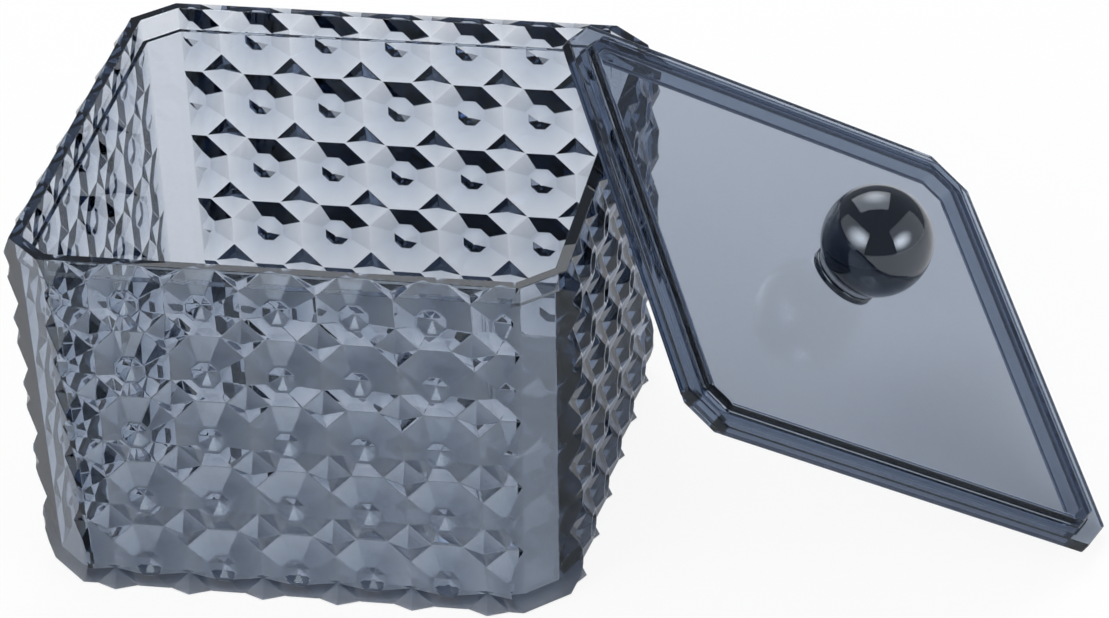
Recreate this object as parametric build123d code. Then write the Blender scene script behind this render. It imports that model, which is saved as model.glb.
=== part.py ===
"""Cotton swab holder: a square clear tub with a faceted outside, and a low lid with a ball knob.

Millimetres, +Z up. The origin is the middle of the tub's underside, and the front wall faces -Y.
The lid is taken off, as in use: it leans on the tub's right rim with one corner on the table.
"""
import os
from math import ceil, cos, radians, sin, sqrt, tan

from build123d import *

# Tub: widths are measured between opposite walls, at the bottom of the pattern
RIM_WIDTH = 102.0
BASE_WIDTH = 97.8
TUB_HEIGHT = 69.8
TUB_CORNER = 7.2
WALL = 3.2
FLOOR = 3.0

# Step inside the rim that the lid's ring drops into
RIM_WALL = 2.2
RIM_STEP_DEPTH = 4.5

# Pattern on the outer walls
PITCH = 14.0
RELIEF = 2.0
HUB_WIDTH = 5.7
DIMPLE_WIDTH = 4.8
DIMPLE_DEPTH = 1.45
RIM_BEVEL_ANGLE = 45.0

# Lid: a flange that lies on the rim, and a ring below it that drops into the step
LID_INSET = 0.1
FLANGE_THICKNESS = 2.2
RING_CLEARANCE = 0.9
RING_BOTTOM_GAP = 2.0

# Raised middle of the lid, hollow from below
MIDDLE_INSET = 4.1
MIDDLE_CORNER = 4.1
MIDDLE_RISE = 1.7
MIDDLE_WALL = 1.7
MIDDLE_PLATE = 2.0

# Knob
BALL_DIAMETER = 21.0
COLLAR_DIAMETER = 13.4
COLLAR_HEIGHT = 1.3
COLLAR_ROUNDING = 0.4
BALL_SINK = 1.4
SPIGOT_DIAMETER = 5.0
SPIGOT_CLEARANCE = 0.05

# How the lid leans
LID_TILT = 38.6
LID_TURN = 29.65
LID_SHIFT = 3.5
REST_GAP = 0.3

WALL_TURNS = (0, 90, 180, 270)


def half_width(z):
    """Distance from the middle to the bottom of the pattern, at height z."""
    return (BASE_WIDTH + (RIM_WIDTH - BASE_WIDTH) * z / TUB_HEIGHT) / 2


def octagon(half, corner, z):
    """Corner points of a square with cut corners, at height z."""
    short = half - corner
    points = [
        (short, -half),
        (half, -short),
        (half, short),
        (short, half),
        (-short, half),
        (-half, short),
        (-half, -short),
        (-short, -half),
    ]
    return [(x, y, z) for x, y in points]


def inset_corner(corner, inset):
    """Corner cut of an outline that lies the same distance inside all eight sides."""
    return corner - (2 - sqrt(2)) * inset


def solid_of(polygons):
    """Closed solid with the given flat faces."""
    faces = [Face(Wire.make_polygon(points, close=True)) for points in polygons]
    return Solid(Shell(faces))


def frustum(lower, upper):
    """Solid between two outlines with the same number of corners."""
    count = len(lower)
    sides = []
    for i in range(count):
        j = (i + 1) % count
        sides.append([lower[i], lower[j], upper[j], upper[i]])
    return solid_of([lower[::-1], upper, *sides])


# Pattern: points on a wall are given as (u, z, rise), along the wall, up, and out of it
def on_wall(point):
    """Place a pattern point on the front wall."""
    u, z, rise = point
    return (u, -half_width(z) - rise, z)


def ring_of_eight(u, z, across, rise):
    """Corners of an upright octagon, given its width across the flats."""
    flat = across / 2
    side = flat * tan(radians(22.5))
    corners = [
        (side, -flat),
        (flat, -side),
        (flat, side),
        (side, flat),
        (-side, flat),
        (-flat, side),
        (-flat, -side),
        (-side, -flat),
    ]
    return [(u + du, z + dz, rise) for du, dz in corners]


def hub_facets(u, z):
    """One hub: eight slopes, a flat rim and an eight-sided dimple."""
    foot = ring_of_eight(u, z, PITCH, 0)
    top = ring_of_eight(u, z, HUB_WIDTH, RELIEF)
    mouth = ring_of_eight(u, z, DIMPLE_WIDTH, RELIEF)
    bottom = (u, z, RELIEF - DIMPLE_DEPTH)
    facets = []
    for i in range(8):
        j = (i + 1) % 8
        facets.append([foot[i], foot[j], top[j], top[i]])
        facets.append([top[i], top[j], mouth[j], mouth[i]])
        facets.append([mouth[i], mouth[j], bottom])
    return facets


def diamond_quarters(u, z):
    """The quarters of four pointed diamonds that share this hub's square."""
    half = PITCH / 2
    reach = half * (1 - tan(radians(22.5)))
    facets = []
    for du, dz in ((1, 1), (-1, 1), (-1, -1), (1, -1)):
        tip = (u + du * half, z + dz * half, RELIEF)
        side = (u + du * half, z + dz * (half - reach), 0)
        level = (u + du * (half - reach), z + dz * half, 0)
        turn = [tip, level, side]
        facets.append(turn if du == dz else turn[::-1])
    return facets


def border(start, count):
    """Points along one edge of the pattern, from diamond tip to diamond tip."""
    flat = PITCH / 2 * tan(radians(22.5))
    points = [(start, RELIEF)]
    for i in range(count):
        middle = start + (i + 0.5) * PITCH
        points.append((middle - flat, 0))
        points.append((middle + flat, 0))
        points.append((start + (i + 1) * PITCH, RELIEF))
    return points


def patterned_block():
    """The front wall's pattern on a block that reaches back to the middle of the tub."""
    side_columns = ceil((RIM_WIDTH / 2 - PITCH / 2) / PITCH)
    rows = ceil(TUB_HEIGHT / PITCH)
    columns = 2 * side_columns + 1
    edge = columns * PITCH / 2
    bottom = TUB_HEIGHT - rows * PITCH
    facets = []
    for row in range(rows):
        z = TUB_HEIGHT - (row + 0.5) * PITCH
        for column in range(-side_columns, side_columns + 1):
            facets += hub_facets(column * PITCH, z)
            facets += diamond_quarters(column * PITCH, z)
    polygons = [[on_wall(point) for point in facet] for facet in facets]
    for z in (TUB_HEIGHT, bottom):
        outline = [on_wall((u, z, rise)) for u, rise in border(-edge, columns)]
        polygons.append([*outline, (edge, 0, z), (-edge, 0, z)])
    for u in (-edge, edge):
        outline = [on_wall((u, z, rise)) for z, rise in border(bottom, rows)]
        polygons.append([*outline, (u, 0, TUB_HEIGHT), (u, 0, bottom)])
    polygons.append([(-edge, 0, bottom), (edge, 0, bottom), (edge, 0, TUB_HEIGHT), (-edge, 0, TUB_HEIGHT)])
    return solid_of(polygons)


def quarter_outline(z):
    """Mitred quarter of the tub's plan, with the corner panels cut and the pattern left free."""
    free = 2 * RELIEF
    half = half_width(z)
    mitre = half - TUB_CORNER / 2
    short = half - TUB_CORNER - free
    return [
        (0, 0, z),
        (-mitre, -mitre, z),
        (-short, -half - free, z),
        (short, -half - free, z),
        (mitre, -mitre, z),
    ]


def tub_quarter():
    """One patterned wall, mitred to its neighbours and bevelled along the rim."""
    mitred = frustum(quarter_outline(0), quarter_outline(TUB_HEIGHT))
    angle = radians(RIM_BEVEL_ANGLE)
    bevel = Plane(
        origin=(0, -half_width(TUB_HEIGHT), TUB_HEIGHT),
        z_dir=(0, -sin(angle), cos(angle)),
    )
    mitred = mitred.split(bevel, keep=Keep.BOTTOM)
    return patterned_block() & mitred


def hollow(z, wall):
    """Outline of the hollow at height z, the given wall inside the bottom of the pattern."""
    return octagon(half_width(z) - wall, inset_corner(TUB_CORNER, wall), z)


def make_tub():
    """The tub: four patterned walls, plain corner panels, a floor and a stepped rim."""
    quarter = tub_quarter()
    walls = [Rot(0, 0, turn) * quarter for turn in WALL_TURNS]
    body = walls[0].fuse(*walls[1:])
    step = TUB_HEIGHT - RIM_STEP_DEPTH
    body -= frustum(hollow(FLOOR, WALL), hollow(step, WALL))
    body -= frustum(hollow(step, RIM_WALL), hollow(TUB_HEIGHT, RIM_WALL))
    return body


def slab(half, corner, low, high):
    """Flat plate with cut corners."""
    return frustum(octagon(half, corner, low), octagon(half, corner, high))


def ring_height():
    """How far the ring reaches below the flange: into the step, but clear of its floor."""
    return RIM_STEP_DEPTH - RING_BOTTOM_GAP


def make_lid():
    """The lid, lying flat with its flange's top at z = 0 and its raised middle above that."""
    half = half_width(TUB_HEIGHT) - LID_INSET
    middle = half - MIDDLE_INSET
    ring_inset = RIM_WALL + RING_CLEARANCE
    ring = half_width(TUB_HEIGHT - RIM_STEP_DEPTH) - ring_inset
    bottom = -FLANGE_THICKNESS - ring_height()
    ceiling = MIDDLE_RISE - MIDDLE_PLATE
    body = slab(half, inset_corner(TUB_CORNER, LID_INSET), -FLANGE_THICKNESS, 0)
    body += slab(middle, MIDDLE_CORNER, 0, MIDDLE_RISE)
    body += slab(ring, inset_corner(TUB_CORNER, ring_inset), bottom, -FLANGE_THICKNESS)
    body -= slab(middle - MIDDLE_WALL, inset_corner(MIDDLE_CORNER, MIDDLE_WALL), bottom, ceiling)
    return body - Cylinder(SPIGOT_DIAMETER / 2 + SPIGOT_CLEARANCE, 4 * (MIDDLE_RISE + MIDDLE_PLATE))


def make_knob():
    """The knob above its seat at z = 0: a ball on a low collar, with a spigot below."""
    radius = BALL_DIAMETER / 2
    ball = Pos(0, 0, COLLAR_HEIGHT - BALL_SINK + radius) * Sphere(radius)
    up = (Align.CENTER, Align.CENTER, Align.MIN)
    down = (Align.CENTER, Align.CENTER, Align.MAX)
    collar = Cylinder(COLLAR_DIAMETER / 2, COLLAR_HEIGHT, align=up)
    collar = fillet(collar.edges().sort_by(Axis.Z)[-1], COLLAR_ROUNDING)
    spigot = Cylinder(SPIGOT_DIAMETER / 2, MIDDLE_PLATE, align=down)
    return ball.split(Plane.XY, keep=Keep.TOP) + collar + spigot


def leaning(lid):
    """Place of the lid where one corner stands on the table and the ring rests on the rim."""
    tilt = radians(LID_TILT)
    turned = Rot(0, LID_TILT, 0) * Rot(0, 0, LID_TURN)
    height = REST_GAP - (turned * lid).bounding_box().min.Z
    depth = FLANGE_THICKNESS + ring_height() + REST_GAP
    reach = ((TUB_HEIGHT - height) * cos(tilt) + depth) / sin(tilt)
    return Pos(half_width(TUB_HEIGHT) + reach, LID_SHIFT, height) * turned


def main():
    """Write one file for each piece."""
    os.makedirs("parts", exist_ok=True)
    lid = make_lid()
    place = leaning(lid)
    pieces = {
        "tub": make_tub(),
        "lid": place * lid,
        "knob": place * Pos(0, 0, MIDDLE_RISE) * make_knob(),
    }
    for name, piece in pieces.items():
        export_step(piece, f"parts/{name}.step")
        print(name, round(piece.volume / 1000, 2), "cm3")


main()
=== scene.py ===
"""Scene of the cotton swab holder: a faceted smoke-clear tub, its low lid and the ball knob."""
import logging
from dataclasses import dataclass
from enum import Enum
from math import cos, radians, sin, sqrt

import bmesh
import bpy
from mathutils import Matrix, Vector


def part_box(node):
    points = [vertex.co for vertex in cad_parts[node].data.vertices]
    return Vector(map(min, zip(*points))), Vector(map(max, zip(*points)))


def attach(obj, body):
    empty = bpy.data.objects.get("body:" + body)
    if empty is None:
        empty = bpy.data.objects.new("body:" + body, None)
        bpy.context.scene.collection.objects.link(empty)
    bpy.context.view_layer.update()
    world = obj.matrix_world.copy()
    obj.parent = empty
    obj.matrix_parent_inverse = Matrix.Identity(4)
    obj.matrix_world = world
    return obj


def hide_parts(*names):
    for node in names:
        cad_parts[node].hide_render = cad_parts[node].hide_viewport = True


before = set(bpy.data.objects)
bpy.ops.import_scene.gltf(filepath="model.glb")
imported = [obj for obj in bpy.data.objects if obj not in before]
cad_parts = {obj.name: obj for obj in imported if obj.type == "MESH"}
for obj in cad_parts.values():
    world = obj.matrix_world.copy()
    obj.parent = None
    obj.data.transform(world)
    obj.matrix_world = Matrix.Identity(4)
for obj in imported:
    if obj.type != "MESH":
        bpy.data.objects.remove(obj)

logging.basicConfig(level=logging.INFO, format="%(name)s: %(message)s")
log = logging.getLogger("swab_holder")

Colour = tuple[float, float, float]
Triple = tuple[float, float, float]
Pair = tuple[float, float]

MM = 0.001
WHITE: Colour = (1.0, 1.0, 1.0)
SMOKE: Colour = (0.48, 0.55, 0.65)
# Points closer than this are one point, in metres
SAME_POINT = 0.000002
# Faces that turn by less than this, in degrees, are one flat face
FLAT_WITHIN = 0.6


class Polish(Enum):
    """How glossy a moulded surface came out of its mould: its mean roughness."""

    MIRROR = 0.0
    SATIN = 0.6


class Signal:
    """One shader socket that can be added, subtracted and multiplied in Python."""

    def __init__(self, board: "Board", socket: bpy.types.NodeSocket | None) -> None:
        """Wrap a socket.

        Args:
            board: The node board that the socket is on.
            socket: The output socket to wrap, or None for a node that ends the board.
        """
        self.board = board
        self.socket = socket

    def _math(
        self, operation: str, first: "Signal | float", second: "Signal | float"
    ) -> "Signal":
        """Add one Math node.

        Args:
            operation: The Math node's operation.
            first: Its first value.
            second: Its second value.

        Returns:
            The node's result.
        """
        return self.board.node("ShaderNodeMath", {"operation": operation}, {0: first, 1: second})

    def __add__(self, other: "Signal | float") -> "Signal":
        """Sum of the two values."""
        return self._math("ADD", self, other)

    def __rsub__(self, other: float) -> "Signal":
        """A plain number minus the value."""
        return self._math("SUBTRACT", other, self)

    def __mul__(self, other: "Signal | float") -> "Signal":
        """Product of the two values."""
        return self._math("MULTIPLY", self, other)

    def above(self, limit: float) -> "Signal":
        """Mark where the value is above a limit.

        Args:
            limit: The limit.

        Returns:
            1 above the limit, and 0 elsewhere.
        """
        return self._math("GREATER_THAN", self, limit)

    def clipped(self, low: float, high: float) -> "Signal":
        """Rescale the value so that low becomes 0 and high becomes 1, smooth at both ends.

        Args:
            low: The value that becomes 0.
            high: The value that becomes 1.

        Returns:
            The rescaled value.
        """
        settings = {"interpolation_type": "SMOOTHSTEP"}
        return self.board.node("ShaderNodeMapRange", settings, {0: self, 1: low, 2: high})


class Board:
    """The node board of one material, lamp or world, with one method that makes every node."""

    def __init__(self, tree: bpy.types.NodeTree) -> None:
        """Start an empty board on a node tree.

        Args:
            tree: The node tree.
        """
        self.tree = tree
        tree.nodes.clear()

    def node(
        self,
        kind: str,
        settings: dict[str, object] | None = None,
        inputs: dict[str | int, object] | None = None,
        output: str | int = 0,
    ) -> Signal:
        """Add a node.

        Args:
            kind: The node's Blender type.
            settings: Its options, set before its sockets.
            inputs: For each input socket, a value or the signal that feeds it.
            output: The output socket to return.

        Returns:
            The wanted output as a signal.
        """
        made = self.tree.nodes.new(kind)
        for name, value in (settings or {}).items():
            setattr(made, name, value)
        for name, value in (inputs or {}).items():
            if isinstance(value, Signal):
                self.tree.links.new(value.socket, made.inputs[name])
            else:
                made.inputs[name].default_value = value
        return Signal(self, made.outputs[output] if made.outputs else None)

    def blend(self, mask: Signal, first: Colour, second: Colour) -> Signal:
        """Mix two colours by a mask.

        Args:
            mask: 0 for the first colour and 1 for the second.
            first: A linear colour.
            second: A linear colour.

        Returns:
            The mixed colour.
        """
        inputs = {0: mask, 6: (*first, 1.0), 7: (*second, 1.0)}
        return self.node("ShaderNodeMix", {"data_type": "RGBA"}, inputs, output=2)

    def noise(self, place: Signal, scale: float, detail: float, roughness: float) -> Signal:
        """Add a noise texture.

        Args:
            place: The coordinates that it follows.
            scale: How fine it is.
            detail: How many finer layers it has.
            roughness: How strong those layers are.

        Returns:
            The noise, from 0 to 1.
        """
        inputs = {"Vector": place, "Scale": scale, "Detail": detail, "Roughness": roughness}
        return self.node("ShaderNodeTexNoise", {"noise_dimensions": "3D"}, inputs)


@dataclass(frozen=True)
class MouldMarks:
    """Faint marks that the mould and use leave on a clear piece.

    Attributes:
        haze_scale: How fine the patches of haze are, to a metre.
        haze_limits: Noise where haze starts and where it is full.
        haze_share: How much of the cloudy colour full haze takes.
        haze_blur: Roughness that full haze adds.
        hair_turn: How the hairline scratches are turned, in radians.
        hair_scale: How fine they are across and along, to a metre.
        hair_limits: Noise where a scratch starts and where it is full.
        hair_blur: Roughness that a scratch adds.
        hair_height: Height of a scratch over that of a ripple.
        flow_size: Size of the mould's slow ripples, in metres.
        flow_depth: Depth of those ripples, in metres.
    """

    haze_scale: float = 22.0
    haze_limits: Pair = (0.45, 0.75)
    haze_share: float = 0.5
    haze_blur: float = 0.012
    hair_turn: Triple = (0.4, 0.2, 0.7)
    hair_scale: Triple = (1900.0, 60.0, 60.0)
    hair_limits: Pair = (0.66, 0.78)
    hair_blur: float = 0.02
    hair_height: float = 0.01
    flow_size: float = 0.03
    flow_depth: float = 0.00004

    def haze(self, board: Board, place: Signal) -> Signal:
        """Work out where the surface is hazy.

        Args:
            board: The material's board.
            place: Object coordinates.

        Returns:
            The haze mask.
        """
        cloudy = board.noise(place, self.haze_scale, detail=4.0, roughness=0.55)
        return cloudy.clipped(*self.haze_limits)

    def hairs(self, board: Board, place: Signal) -> Signal:
        """Work out where the surface has hairline scratches.

        Args:
            board: The material's board.
            place: Object coordinates.

        Returns:
            The scratch mask.
        """
        inputs = {"Vector": place, "Rotation": self.hair_turn, "Scale": self.hair_scale}
        stretched = board.node("ShaderNodeMapping", {"vector_type": "POINT"}, inputs)
        return board.noise(stretched, 1.0, detail=2.0, roughness=0.4).clipped(*self.hair_limits)

    def relief(self, board: Board, place: Signal, hairs: Signal) -> Signal:
        """Bend the surface by its ripples and scratches.

        Args:
            board: The material's board.
            place: Object coordinates.
            hairs: The scratch mask.

        Returns:
            The bent normal.
        """
        ripple = board.noise(place, 1.0 / self.flow_size, detail=1.0, roughness=0.4)
        height = ripple + hairs * self.hair_height
        inputs = {"Strength": 1.0, "Distance": self.flow_depth, "Height": height}
        return board.node("ShaderNodeBump", None, inputs)


@dataclass(frozen=True)
class ClearPlastic:
    """See-through moulded plastic: its tint, its polish and the marks on it.

    Attributes:
        name: The material's name.
        tint: Linear colour that the plastic lets through over its own depth.
        density: How strongly the plastic absorbs, per metre.
        surface: Linear base colour of the clean surface.
        cloud: Linear base colour where the moulded surface is a little hazy.
        polish: How glossy it is.
        ior: How strongly it bends light.
        gloss: Linear colour of its reflections.
        satin_below: Height below which its surface is finely textured, in metres.
        marks: The faint marks on it.
    """

    name: str
    tint: Colour
    density: float
    surface: Colour = WHITE
    cloud: Colour = (0.95, 0.96, 0.97)
    polish: Polish = Polish.MIRROR
    ior: float = 1.5
    gloss: Colour = (0.82, 0.91, 1.0)
    satin_below: float = -1.0
    marks: MouldMarks = MouldMarks()

    def _roughness(self, board: Board, place: Signal, haze: Signal, hairs: Signal) -> Signal:
        """Work out how rough the surface is.

        Args:
            board: The material's board.
            place: Object coordinates.
            haze: The haze mask.
            hairs: The scratch mask.

        Returns:
            The roughness.
        """
        height = board.node("ShaderNodeSeparateXYZ", None, {"Vector": place}, output="Z")
        satin = 1.0 - height.above(self.satin_below)
        worn = haze * self.marks.haze_blur + hairs * self.marks.hair_blur
        return worn + satin * Polish.SATIN.value + self.polish.value

    def material(self) -> bpy.types.Material:
        """Build the material.

        Returns:
            The finished material.
        """
        made = bpy.data.materials.new(self.name)
        made.use_nodes = True
        board = Board(made.node_tree)
        place = board.node("ShaderNodeTexCoord", output="Object")
        haze = self.marks.haze(board, place)
        hairs = self.marks.hairs(board, place)
        inputs = {
            "Base Color": board.blend(haze * self.marks.haze_share, self.surface, self.cloud),
            "Roughness": self._roughness(board, place, haze, hairs),
            "IOR": self.ior,
            "Transmission Weight": 1.0,
            "Specular Tint": (*self.gloss, 1.0),
            "Normal": self.marks.relief(board, place, hairs),
        }
        shell = board.node("ShaderNodeBsdfPrincipled", None, inputs)
        inputs = {"Color": (*self.tint, 1.0), "Density": self.density}
        depth = board.node("ShaderNodeVolumeAbsorption", None, inputs)
        board.node("ShaderNodeOutputMaterial", None, {"Surface": shell, "Volume": depth})
        return made


@dataclass(frozen=True)
class Paper:
    """The matt white sheet that the holder stands on.

    Attributes:
        name: The material's name.
        colour: Linear colour of the sheet.
        grain: Linear colour of its faint grain.
        grain_scale: How fine the grain is, to a metre.
        grain_limits: Noise where the grain starts and where it is full.
        roughness: How matt the sheet is.
        lift: How much of plain white the camera sees in it.
        shine: How much of plain white shows in reflections.
    """

    name: str = "white_sheet"
    colour: Colour = (0.93, 0.93, 0.93)
    grain: Colour = (0.9, 0.9, 0.9)
    grain_scale: float = 900.0
    grain_limits: Pair = (0.4, 0.6)
    roughness: float = 0.7
    lift: float = 0.9
    shine: float = 0.3

    def material(self) -> bpy.types.Material:
        """Build the material.

        Returns:
            The finished material.
        """
        made = bpy.data.materials.new(self.name)
        made.use_nodes = True
        board = Board(made.node_tree)
        place = board.node("ShaderNodeTexCoord", output="Object")
        noise = board.noise(place, self.grain_scale, detail=2.0, roughness=0.5)
        colour = board.blend(noise.clipped(*self.grain_limits), self.colour, self.grain)
        inputs = {"Base Color": colour, "Roughness": self.roughness}
        sheet = board.node("ShaderNodeBsdfPrincipled", None, inputs)
        inputs = {"Color": (*WHITE, 1.0), "Strength": 1.0}
        white = board.node("ShaderNodeEmission", None, inputs)
        seen = board.node("ShaderNodeLightPath", output="Is Camera Ray")
        mirrored = board.node("ShaderNodeLightPath", output="Is Glossy Ray")
        share = seen * self.lift + mirrored * self.shine
        mixed = board.node("ShaderNodeMixShader", None, {0: share, 1: sheet, 2: white})
        board.node("ShaderNodeOutputMaterial", None, {"Surface": mixed})
        return made


def leave_edit() -> None:
    """Go back to object mode and deselect everything."""
    if bpy.context.object and bpy.context.object.mode != "OBJECT":
        bpy.ops.object.mode_set(mode="OBJECT")
    bpy.ops.object.select_all(action="DESELECT")


def take(piece: bpy.types.Object) -> None:
    """Make one object the only selected and the active one.

    Args:
        piece: The object.
    """
    leave_edit()
    piece.select_set(True)
    bpy.context.view_layer.objects.active = piece


def copy_of_node(node: str, name: str, slivers: float) -> bpy.types.Object:
    """Copy a moulded solid's mesh and turn its loose triangles into whole flat faces.

    Args:
        node: The solid's node.
        name: Name of the new piece.
        slivers: Edges shorter than this close up, in metres.

    Returns:
        The new piece, with its place in its mesh.
    """
    piece = bpy.data.objects.new(name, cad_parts[node].data.copy())
    piece.data.name = name
    bpy.context.scene.collection.objects.link(piece)
    piece.data.materials.clear()
    take(piece)
    bpy.ops.object.mode_set(mode="EDIT")
    bpy.ops.mesh.select_mode(type="VERT")
    bpy.ops.mesh.select_all(action="SELECT")
    bpy.ops.mesh.remove_doubles(threshold=SAME_POINT)
    bpy.ops.mesh.customdata_custom_splitnormals_clear()
    bpy.ops.mesh.select_all(action="SELECT")
    bpy.ops.mesh.dissolve_limited(angle_limit=radians(FLAT_WITHIN))
    bpy.ops.mesh.select_all(action="SELECT")
    bpy.ops.mesh.remove_doubles(threshold=slivers)
    bpy.ops.mesh.select_all(action="SELECT")
    bpy.ops.mesh.vert_connect_concave()
    take(piece)
    bpy.ops.object.shade_flat()
    leave_edit()
    return piece


def ease_edges(piece: bpy.types.Object, width: float, segments: int, sharper_than: float) -> None:
    """Round a piece's moulded edges a little and apply the modifier.

    Args:
        piece: The piece.
        width: Width of the rounding, in metres.
        segments: Steps across it.
        sharper_than: Edges that turn by less than this stay, in degrees.
    """
    take(piece)
    bevel = piece.modifiers.new("moulded_edges", "BEVEL")
    bevel.width = width
    bevel.segments = segments
    bevel.limit_method = "ANGLE"
    bevel.angle_limit = radians(sharper_than)
    bevel.use_clamp_overlap = False
    bevel.miter_outer = "MITER_SHARP"
    bpy.ops.object.modifier_apply(modifier=bevel.name)
    leave_edit()


def standing(place: Triple, across: Triple, upward: Triple) -> Matrix:
    """Place and turn a lamp or a camera.

    Args:
        place: Where it stands, in metres.
        across: Direction of its right-hand side.
        upward: Direction of its upper side.

    Returns:
        Its matrix in the world.
    """
    right = Vector(across).normalized()
    back = right.cross(Vector(upward)).normalized()
    turned = Matrix((right, back.cross(right), back)).transposed().to_4x4()
    return Matrix.Translation(Vector(place)) @ turned


def report(piece: bpy.types.Object, node: str) -> None:
    """Log a finished piece's size.

    Args:
        piece: The piece.
        node: The node that it replaces.
    """
    low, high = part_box(node)
    size = [round((high[i] - low[i]) / MM, 1) for i in range(3)]
    log.info("%s: %d faces, node box %s mm", piece.name, len(piece.data.polygons), size)


@dataclass(frozen=True)
class Tub:
    """The moulded tub with its faceted walls.

    Attributes:
        edge: Rounding of the facets' edges, in metres.
        edge_steps: Steps across that rounding.
        sharper_than: Edges that turn by less than this stay, in degrees.
        slivers: Edges shorter than this close up first, in metres.
        plastic: What it is moulded in.
    """

    edge: float = 0.12 * MM
    edge_steps: int = 2
    sharper_than: float = 9.0
    slivers: float = 0.21 * MM
    plastic: ClearPlastic = ClearPlastic(
        "smoke_tub", tint=SMOKE, density=268.0, satin_below=0.1 * MM
    )

    def build(self) -> bpy.types.Object:
        """Copy the tub's solid and round the edges of its facets.

        Returns:
            The finished mesh.
        """
        piece = copy_of_node("tub", "tub_moulding", self.slivers)
        ease_edges(piece, self.edge, self.edge_steps, self.sharper_than)
        return piece

    def dress(self, piece: bpy.types.Object) -> None:
        """Give the mesh its plastic and its place in the holder.

        Args:
            piece: The finished mesh.
        """
        piece.data.materials.append(self.plastic.material())
        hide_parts("tub")
        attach(piece, "tub")
        report(piece, "tub")


@dataclass(frozen=True)
class Lid:
    """The moulded lid with its flange, raised middle and ring.

    Attributes:
        edge: Rounding of its edges, in metres.
        edge_steps: Steps across that rounding.
        sharper_than: Edges that turn by less than this stay, in degrees.
        slivers: Edges shorter than this close up first, in metres.
        plastic: What it is moulded in.
    """

    edge: float = 0.3 * MM
    edge_steps: int = 3
    sharper_than: float = 30.0
    slivers: float = 0.02 * MM
    plastic: ClearPlastic = ClearPlastic("smoke_lid", tint=SMOKE, density=620.0)

    def build(self) -> bpy.types.Object:
        """Copy the lid's solid and round its edges.

        Returns:
            The finished mesh.
        """
        piece = copy_of_node("lid", "lid_moulding", self.slivers)
        ease_edges(piece, self.edge, self.edge_steps, self.sharper_than)
        return piece

    def dress(self, piece: bpy.types.Object) -> None:
        """Give the mesh its plastic and its place in the holder.

        Args:
            piece: The finished mesh.
        """
        piece.data.materials.append(self.plastic.material())
        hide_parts("lid")
        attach(piece, "lid")
        report(piece, "lid")


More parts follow.
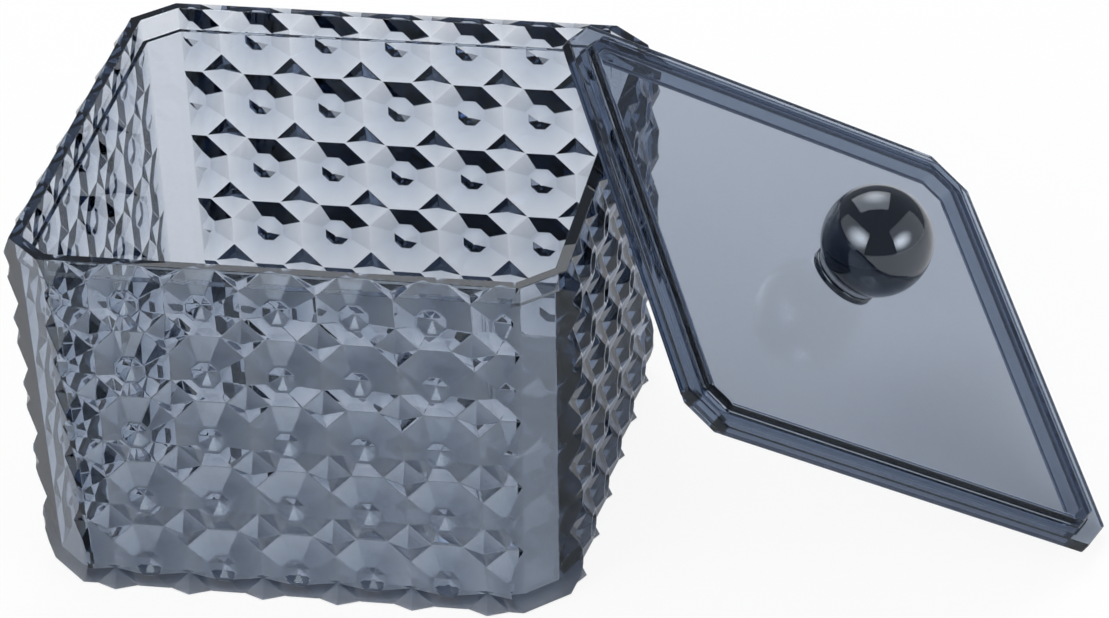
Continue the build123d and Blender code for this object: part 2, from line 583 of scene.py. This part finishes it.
@dataclass(frozen=True)
class Knob:
    """The lid's ball knob: a ball on a low collar, with a spigot in the lid's hole.

    Attributes:
        ball: Radius of the ball, in metres.
        ball_steps: Faces round the ball, and from its top to its bottom.
        centre: Height of the ball's centre above its seat.
        collar: Radius of the collar.
        collar_height: Height of the collar.
        rounding: Rounding of the collar's upper edge.
        rounding_steps: Steps across that rounding.
        spigot: Radius of the spigot.
        spigot_length: Length of the spigot below the seat.
        smooth_within: Edges that turn by more than this stay sharp, in degrees.
        tilt: How far the lid leans, in degrees.
        seat: Middle of the lid's flange, in metres.
        rise: Height of the seat above the flange.
        plastic: What it is moulded in.
    """

    ball: float = 10.5 * MM
    ball_steps: tuple[int, int] = (128, 96)
    centre: float = 10.4 * MM
    collar: float = 6.7 * MM
    collar_height: float = 1.3 * MM
    rounding: float = 0.4 * MM
    rounding_steps: int = 5
    spigot: float = 2.5 * MM
    spigot_length: float = 2.0 * MM
    smooth_within: float = 30.0
    tilt: float = 38.6
    seat: Triple = (92.433 * MM, 3.5 * MM, 43.122 * MM)
    rise: float = 1.7 * MM
    plastic: ClearPlastic = ClearPlastic(
        "dark_knob", tint=(0.2, 0.26, 0.36), density=420.0, ior=1.85, gloss=(0.78, 0.87, 1.0)
    )

    def _select_opening(self, piece: bpy.types.Object) -> None:
        """Select the open edge of the mesh that is being edited.

        Args:
            piece: The object that is being edited.
        """
        mesh = bmesh.from_edit_mesh(piece.data)
        for face in mesh.faces:
            face.select = False
        for edge in mesh.edges:
            edge.select = edge.is_boundary
        mesh.select_flush_mode()
        bmesh.update_edit_mesh(piece.data)

    def _step(self, scale: float = 1.0, drop: float = 0.0) -> None:
        """Extrude the open edge, then scale it about the axis and lower it.

        Args:
            scale: New radius over the old one.
            drop: How far down it goes, in metres.
        """
        bpy.ops.mesh.extrude_edges_move()
        bpy.ops.transform.resize(value=(scale, scale, 1.0), center_override=(0.0, 0.0, 0.0))
        bpy.ops.transform.translate(value=(0.0, 0.0, -drop))

    def _cut_ball(self) -> bpy.types.Object:
        """Make the ball, cut off at the top of the collar.

        Returns:
            The ball, still being edited.
        """
        leave_edit()
        round_steps, down_steps = self.ball_steps
        bpy.ops.mesh.primitive_uv_sphere_add(
            segments=round_steps,
            ring_count=down_steps,
            radius=self.ball,
            location=(0.0, 0.0, self.centre),
        )
        piece = bpy.context.object
        piece.name = "knob_ball"
        piece.data.name = "knob_ball"
        bpy.ops.object.transform_apply(location=True, rotation=True, scale=True)
        bpy.ops.object.mode_set(mode="EDIT")
        bpy.ops.mesh.select_mode(type="EDGE")
        bpy.ops.mesh.select_all(action="SELECT")
        bpy.ops.mesh.bisect(
            plane_co=(0.0, 0.0, self.collar_height), plane_no=(0.0, 0.0, 1.0), clear_inner=True
        )
        return piece

    def _draw_collar_and_spigot(self) -> None:
        """Draw the collar and then the spigot out of the cut ball's open edge."""
        neck = sqrt(self.ball**2 - (self.centre - self.collar_height) ** 2)
        inner = self.collar - self.rounding
        self._step(scale=inner / neck)
        radius = inner
        turns = [radians(90 * i / self.rounding_steps) for i in range(self.rounding_steps + 1)]
        for before, turn in zip(turns, turns[1:]):
            out = inner + self.rounding * sin(turn)
            self._step(scale=out / radius, drop=self.rounding * (cos(before) - cos(turn)))
            radius = out
        self._step(drop=self.collar_height - self.rounding)
        self._step(scale=self.spigot / radius)
        self._step(drop=self.spigot_length)
        bpy.ops.mesh.edge_face_add()

    def build(self) -> bpy.types.Object:
        """Turn the knob from a ball and set it on the lid.

        Returns:
            The finished mesh, in its place on the leaning lid.
        """
        piece = self._cut_ball()
        self._select_opening(piece)
        self._draw_collar_and_spigot()
        bpy.ops.mesh.select_all(action="SELECT")
        bpy.ops.mesh.normals_make_consistent(inside=False)
        take(piece)
        bpy.ops.object.shade_smooth_by_angle(angle=radians(self.smooth_within))
        lean = Matrix.Rotation(radians(self.tilt), 4, "Y")
        lift = Matrix.Translation((0.0, 0.0, self.rise))
        piece.data.transform(Matrix.Translation(Vector(self.seat)) @ lean @ lift)
        return piece

    def dress(self, piece: bpy.types.Object) -> None:
        """Give the mesh its plastic and its place in the holder.

        Args:
            piece: The finished mesh.
        """
        piece.data.materials.append(self.plastic.material())
        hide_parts("knob")
        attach(piece, "lid")
        report(piece, "knob")


@dataclass(frozen=True)
class SoftBox:
    """One rectangular soft box, brighter round its lamp than at its edges.

    Attributes:
        name: The lamp's name.
        place: Where its middle hangs, in metres.
        across: Direction of its width.
        upward: Direction of its height.
        size: Its width and height, in metres.
        power: Its power, in watts.
        heart: Where its lamp glows through, as shares of its width and height.
        glow: How much brighter it is there than at its edges.
        reach: How far the glow spreads, as a share of its size.
    """

    name: str
    place: Triple
    across: Triple
    upward: Triple
    size: Pair
    power: float
    heart: Pair
    glow: float
    reach: float

    def _shade(self, light: bpy.types.AreaLight) -> None:
        """Make the lamp brighter round its heart.

        Args:
            light: The lamp's data.
        """
        light.use_nodes = True
        board = Board(light.node_tree)
        spot = board.node("ShaderNodeNewGeometry", output="Parametric")
        inputs = {0: spot, 1: (1.0, 1.0, 0.0)}
        flat = board.node("ShaderNodeVectorMath", {"operation": "MULTIPLY"}, inputs)
        inputs = {0: flat, 1: (*self.heart, 0.0)}
        gap = board.node("ShaderNodeVectorMath", {"operation": "DISTANCE"}, inputs, output="Value")
        near = 1.0 - gap.clipped(0.0, self.reach)
        lit = board.node("ShaderNodeEmission", None, {"Strength": near * self.glow + 1.0})
        board.node("ShaderNodeOutputLight", None, {"Surface": lit})

    def hang(self) -> None:
        """Make the lamp and turn it to the holder."""
        light = bpy.data.lights.new(self.name, "AREA")
        light.shape = "RECTANGLE"
        light.size, light.size_y = self.size
        light.energy = self.power
        self._shade(light)
        lamp = bpy.data.objects.new(self.name, light)
        bpy.context.scene.collection.objects.link(lamp)
        lamp.matrix_world = standing(self.place, self.across, self.upward)


@dataclass(frozen=True)
class Studio:
    """The white sheet, the soft boxes, the surroundings and the camera.

    Attributes:
        reach: Half the width of the white sheet, in metres.
        sheet_gap: How far the sheet lies below the holder.
        sheet: The white sheet's finish.
        lamps: The soft boxes.
        dim: Linear colour of the surroundings that only light and reflections meet.
        camera_place: Where the camera stands.
        camera_right: Direction of the photo's right-hand side.
        camera_up: Direction of the photo's upper side.
        lens: Focal length, in millimetres.
        film: Width of the frame that the focal length is for, in millimetres.
        far: How far the camera sees, in metres.
    """

    reach: float = 3.0
    sheet_gap: float = 0.2 * MM
    sheet: Paper = Paper()
    lamps: tuple[SoftBox, ...] = (
        SoftBox(
            "back_box",
            place=(-0.14, 0.64, 1.04),
            across=(0.98, 0.197, -0.005),
            upward=(-0.173, 0.866, -0.47),
            size=(1.08, 1.19),
            power=5.6,
            heart=(0.6, 0.6),
            glow=2.0,
            reach=0.45,
        ),
        SoftBox(
            "left_box",
            place=(-0.79, -0.5, 0.56),
            across=(0.57, -0.82, 0.0),
            upward=(0.2, 0.14, 0.97),
            size=(1.9, 1.15),
            power=4.0,
            heart=(0.78, 0.59),
            glow=10.0,
            reach=0.45,
        ),
        SoftBox(
            "right_box",
            place=(1.18, 0.14, 0.5),
            across=(0.3, 0.95, 0.0),
            upward=(-0.2, 0.06, 0.97),
            size=(2.0, 1.1),
            power=4.2,
            heart=(0.15, 0.4),
            glow=11.0,
            reach=0.32,
        ),
    )
    dim: Colour = (0.24, 0.262, 0.305)
    camera_place: Triple = (0.200314, -0.788439, 0.503687)
    camera_right: Triple = (0.983136, 0.179422, -0.035383)
    camera_up: Triple = (-0.060209, 0.500257, 0.863781)
    lens: float = 161.279
    film: float = 36.0
    far: float = 50.0

    def _lay_sheet(self) -> None:
        """Lay the white sheet just below the holder."""
        leave_edit()
        bpy.ops.mesh.primitive_plane_add(
            size=2 * self.reach, location=(0.0, 0.0, -self.sheet_gap)
        )
        sheet = bpy.context.object
        sheet.name = "white_sheet"
        bpy.ops.object.transform_apply(location=True, rotation=True, scale=True)
        sheet.data.materials.append(self.sheet.material())

    def _surround(self) -> None:
        """Show plain white to the camera and a dim room to everything else."""
        world = bpy.data.worlds.new("studio")
        world.use_nodes = True
        bpy.context.scene.world = world
        board = Board(world.node_tree)
        seen = board.node("ShaderNodeLightPath", output="Is Camera Ray")
        room, white = [
            board.node("ShaderNodeBackground", None, {"Color": (*colour, 1.0), "Strength": 1.0})
            for colour in (self.dim, WHITE)
        ]
        mixed = board.node("ShaderNodeMixShader", None, {0: seen, 1: room, 2: white})
        board.node("ShaderNodeOutputWorld", None, {"Surface": mixed})

    def _set_camera(self) -> None:
        """Stand the camera where the photo was taken from."""
        data = bpy.data.cameras.new("photo_camera")
        data.sensor_width = self.film
        data.lens = self.lens
        data.clip_end = self.far
        camera = bpy.data.objects.new("photo_camera", data)
        bpy.context.scene.collection.objects.link(camera)
        camera.matrix_world = standing(self.camera_place, self.camera_right, self.camera_up)
        bpy.context.scene.camera = camera

    def build(self) -> None:
        """Set the whole studio up."""
        self._lay_sheet()
        for lamp in self.lamps:
            lamp.hang()
        self._surround()
        self._set_camera()
        bpy.context.scene.view_settings.view_transform = "Standard"


def main() -> None:
    """Build, dress and report every piece, then set the studio up."""
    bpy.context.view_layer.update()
    for part in (Tub(), Lid(), Knob()):
        part.dress(part.build())
    Studio().build()


if __name__ == "__main__":
    main()
